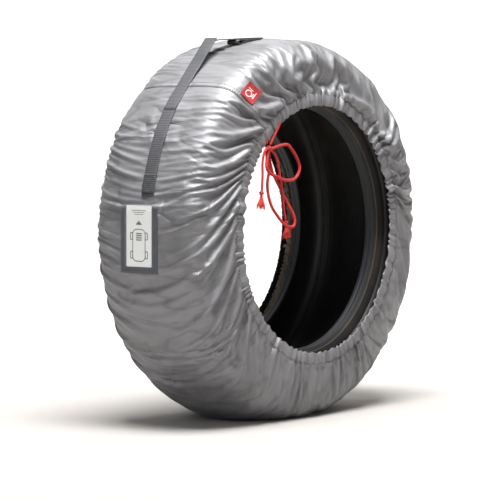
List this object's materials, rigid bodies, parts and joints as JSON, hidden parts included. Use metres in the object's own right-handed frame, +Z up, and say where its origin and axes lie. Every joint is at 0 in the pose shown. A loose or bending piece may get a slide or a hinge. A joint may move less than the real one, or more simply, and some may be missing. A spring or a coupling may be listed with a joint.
{
  "type": "wheel cover set",
  "caption": "Drawstring fabric storage cover gathered round an upright car tyre, with carrying strap, marker card pocket and tasselled cord bow.",
  "frame": {"origin": "middle of the flat patch on the bottom of the cover, where it rests on the floor, in the tyre's mid plane", "axes": "+Z up, +Y along the tyre's axis towards the elastic side, so the drawcord bow faces -Y and the card pocket and the strap's lower end face -X"},
  "size_m": [0.6386, 0.2575, 0.6398],
  "materials": {
    "tyre_rubber": "matt, ribbed and slightly worn",
    "inner_liner": "matt butyl",
    "belt_steel": "brass-coated wire",
    "belt_ply": "steel cord laid in rubber",
    "silver_cloth": "coated polyester, satin",
    "cloth_reverse": "uncoated reverse, matt",
    "black_elastic": "ruched woven elastic",
    "red_cord": "twisted polyester cord",
    "grey_webbing": "ribbed webbing",
    "grey_thread": "sewing thread",
    "grey_binding": "binding tape",
    "red_label": "woven satin label",
    "eyelet_metal": "pressed and plated",
    "clear_vinyl": "clear film",
    "white_card": "printed card"
  },
  "bodies": {
    "covered_tyre": {"tyre_tread": "tyre_rubber", "steel_belt": "belt_ply", "tyre_carcass": "inner_liner", "tyre_front_sidewall": "tyre_rubber", "tyre_rear_sidewall": "tyre_rubber", "front_bead_ring": "tyre_rubber", "rear_bead_ring": "tyre_rubber", "front_bead_wire": "belt_steel", "rear_bead_wire": "belt_steel", "tread_panel": "silver_cloth", "front_side_panel": "silver_cloth", "rear_side_panel": "silver_cloth", "front_drawcord_casing": "silver_cloth", "rear_hem": "cloth_reverse", "rear_elastic_band": "black_elastic", "closing_seam": "silver_cloth", "casing_cord": "red_cord", "right_eyelet": "eyelet_metal", "left_eyelet": "eyelet_metal", "cord_leg_right": "red_cord", "cord_leg_left": "red_cord", "strap_lower_end": "grey_webbing", "strap_upper_end": "grey_webbing", "strap_stitches": "grey_thread", "pocket_back": "silver_cloth", "pocket_binding": "grey_binding", "pocket_window": "clear_vinyl"},
    "handle": {"strap_span": "grey_webbing"},
    "card": {"marker_card": "white_card"},
    "tag": {"seam_tag": "red_label"},
    "bow": {"bow_knot": "red_cord", "loop_upper": "red_cord", "loop_lower": "red_cord", "tail_long": "red_cord", "tail_short": "red_cord", "tassel_long": "red_cord", "tassel_short": "red_cord"}
  },
  "joints": [
    {"name": "handle_lift", "type": "slide", "parent": "covered_tyre", "child": "handle", "axis": [0, 0, 1], "range_m": [0, 0.03]},
    {"name": "card_slide", "type": "slide", "parent": "covered_tyre", "child": "card", "axis": [0, 0, 1], "range_m": [0, 0.09]},
    {"name": "tag_flap", "type": "hinge", "parent": "covered_tyre", "child": "tag", "pos_m": [-0.19091, -0.1157, 0.53682], "axis": [0.6561, 0, -0.7547], "range_deg": [0, 150]},
    {"name": "bow_swing", "type": "hinge", "parent": "covered_tyre", "child": "bow", "pos_m": [-0.14554, -0.126, 0.45292], "axis": [0, 1, 0], "range_deg": [-6, 14]}
  ]
}
